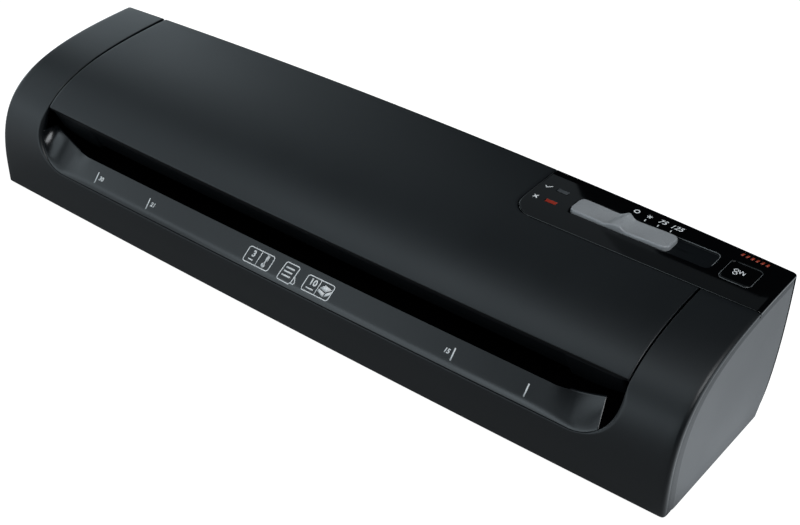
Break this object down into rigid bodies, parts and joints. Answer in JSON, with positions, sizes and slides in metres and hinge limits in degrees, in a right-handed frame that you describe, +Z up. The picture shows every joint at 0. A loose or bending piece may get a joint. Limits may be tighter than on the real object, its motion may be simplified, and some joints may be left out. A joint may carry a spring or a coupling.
{
  "type": "pouch laminator",
  "caption": "Wide desktop machine that seals sheets in pouches: curved body, front feed slot with tray, gloss control panel with slider and button, geared rollers inside.",
  "frame": {"origin": "on the table under the middle of the body, in the plane of the feet's undersides", "axes": "+X to the user's right, +Y to the back, +Z up"},
  "size_m": [0.466, 0.122, 0.0836],
  "materials": {
    "acetal": "natural acetal",
    "aluminium": "extruded",
    "black_plastic": "black moulding",
    "black_shell": "fine satin black moulding",
    "board_green": "circuit board",
    "brass": "sintered bronze",
    "end_black": "satin charcoal black moulding",
    "green_lens": "clear, unlit green indicator",
    "knob_grey": "satin light grey",
    "mica": "mica sheet",
    "panel_black": "high gloss black",
    "red_lens": "lit red indicator",
    "rubber_black": "soft rubber",
    "silicone": "red-brown silicone",
    "spring_steel": "spring wire",
    "steel": "zinc plated sheet",
    "tray_black": "satin black moulding",
    "white_led": "clear epoxy"
  },
  "bodies": {
    "body": {"base_plate": "black_plastic", "base_screws": "steel", "board_screws": "steel", "button_guide": "black_plastic", "button_spring": "spring_steel", "control_board": "board_green", "control_panel": "panel_black", "exit_guide": "black_plastic", "feed_tray": "tray_black", "feet": "rubber_black", "frame_screws": "steel", "gear_motor": "steel", "heat_shield": "steel", "heaters": "mica", "housing": "black_shell", "idler_pin": "steel", "indicator_leds": "white_led", "left_end_cap": "end_black", "left_frame": "steel", "lower_bushes": "brass", "lower_heat_shoe": "aluminium", "mid_guide": "black_plastic", "motor_bracket": "steel", "motor_screws": "steel", "motor_standoffs": "steel", "power_board": "board_green", "power_inlet": "black_plastic", "power_lens": "red_lens", "pressure_springs": "spring_steel", "ready_lens": "green_lens", "rear_cover": "black_plastic", "right_end_cap": "end_black", "right_frame": "steel", "slide_switch": "black_plastic", "thermal_cutout": "black_plastic", "tie_bars": "steel", "top_cover": "black_shell", "upper_bushes": "brass", "upper_guide": "tray_black", "upper_heat_shoe": "aluminium"},
    "lower_hot_roller": {"lower_hot_shaft": "steel", "lower_hot_sleeve": "silicone", "lower_hot_gear": "acetal"},
    "upper_hot_roller": {"upper_hot_shaft": "steel", "upper_hot_sleeve": "silicone", "upper_hot_gear": "acetal"},
    "lower_cold_roller": {"lower_cold_shaft": "steel", "lower_cold_sleeve": "silicone", "lower_cold_gear": "acetal"},
    "upper_cold_roller": {"upper_cold_shaft": "steel", "upper_cold_sleeve": "silicone", "upper_cold_gear": "acetal"},
    "idler": {"idler_gear": "acetal"},
    "pinion": {"motor_pinion": "brass"},
    "slider": {"slider_knob": "knob_grey", "slider_carriage": "black_plastic"},
    "button": {"release_button": "panel_black"},
    "release": {"release_shaft": "steel", "release_lever": "acetal", "release_fork": "acetal"}
  },
  "joints": [
    {"name": "lower_hot_turn", "type": "hinge", "parent": "body", "child": "lower_hot_roller", "pos_m": [0, -0.002, 0.0352], "axis": [1, 0, 0], "continuous": true},
    {"name": "upper_hot_turn", "type": "hinge", "parent": "body", "child": "upper_hot_roller", "pos_m": [0, -0.002, 0.0528], "axis": [1, 0, 0], "continuous": true},
    {"name": "lower_cold_turn", "type": "hinge", "parent": "body", "child": "lower_cold_roller", "pos_m": [0, 0.026, 0.0352], "axis": [1, 0, 0], "continuous": true},
    {"name": "upper_cold_turn", "type": "hinge", "parent": "body", "child": "upper_cold_roller", "pos_m": [0, 0.026, 0.0528], "axis": [1, 0, 0], "continuous": true},
    {"name": "idler_turn", "type": "hinge", "parent": "body", "child": "idler", "pos_m": [0, 0.012, 0.0352], "axis": [1, 0, 0], "continuous": true},
    {"name": "pinion_turn", "type": "hinge", "parent": "body", "child": "pinion", "pos_m": [0, -0.0088, 0.02342], "axis": [1, 0, 0], "continuous": true},
    {"name": "slider_slide", "type": "slide", "parent": "body", "child": "slider", "axis": [1, 0, 0], "range_m": [0, 0.0225]},
    {"name": "button_press", "type": "slide", "parent": "body", "child": "button", "axis": [0, 0, -1], "range_m": [0, 0.003], "stiffness_N_per_m": 500, "springref_m": -0.003, "deforming": ["button_spring"]},
    {"name": "release_turn", "type": "hinge", "parent": "body", "child": "release", "pos_m": [0, 0.012, 0.062], "axis": [1, 0, 0], "range_deg": [-7.5, 0]}
  ],
  "couplings": [
    {"joint": "upper_hot_turn", "follows": "lower_hot_turn", "ratio": -1},
    {"joint": "idler_turn", "follows": "lower_hot_turn", "ratio": -1.6923},
    {"joint": "lower_cold_turn", "follows": "lower_hot_turn", "ratio": 1},
    {"joint": "upper_cold_turn", "follows": "lower_hot_turn", "ratio": -1},
    {"joint": "pinion_turn", "follows": "lower_hot_turn", "ratio": -1.8333},
    {"joint": "release_turn", "follows": "button_press", "rad_per_m": -43.478}
  ]
}
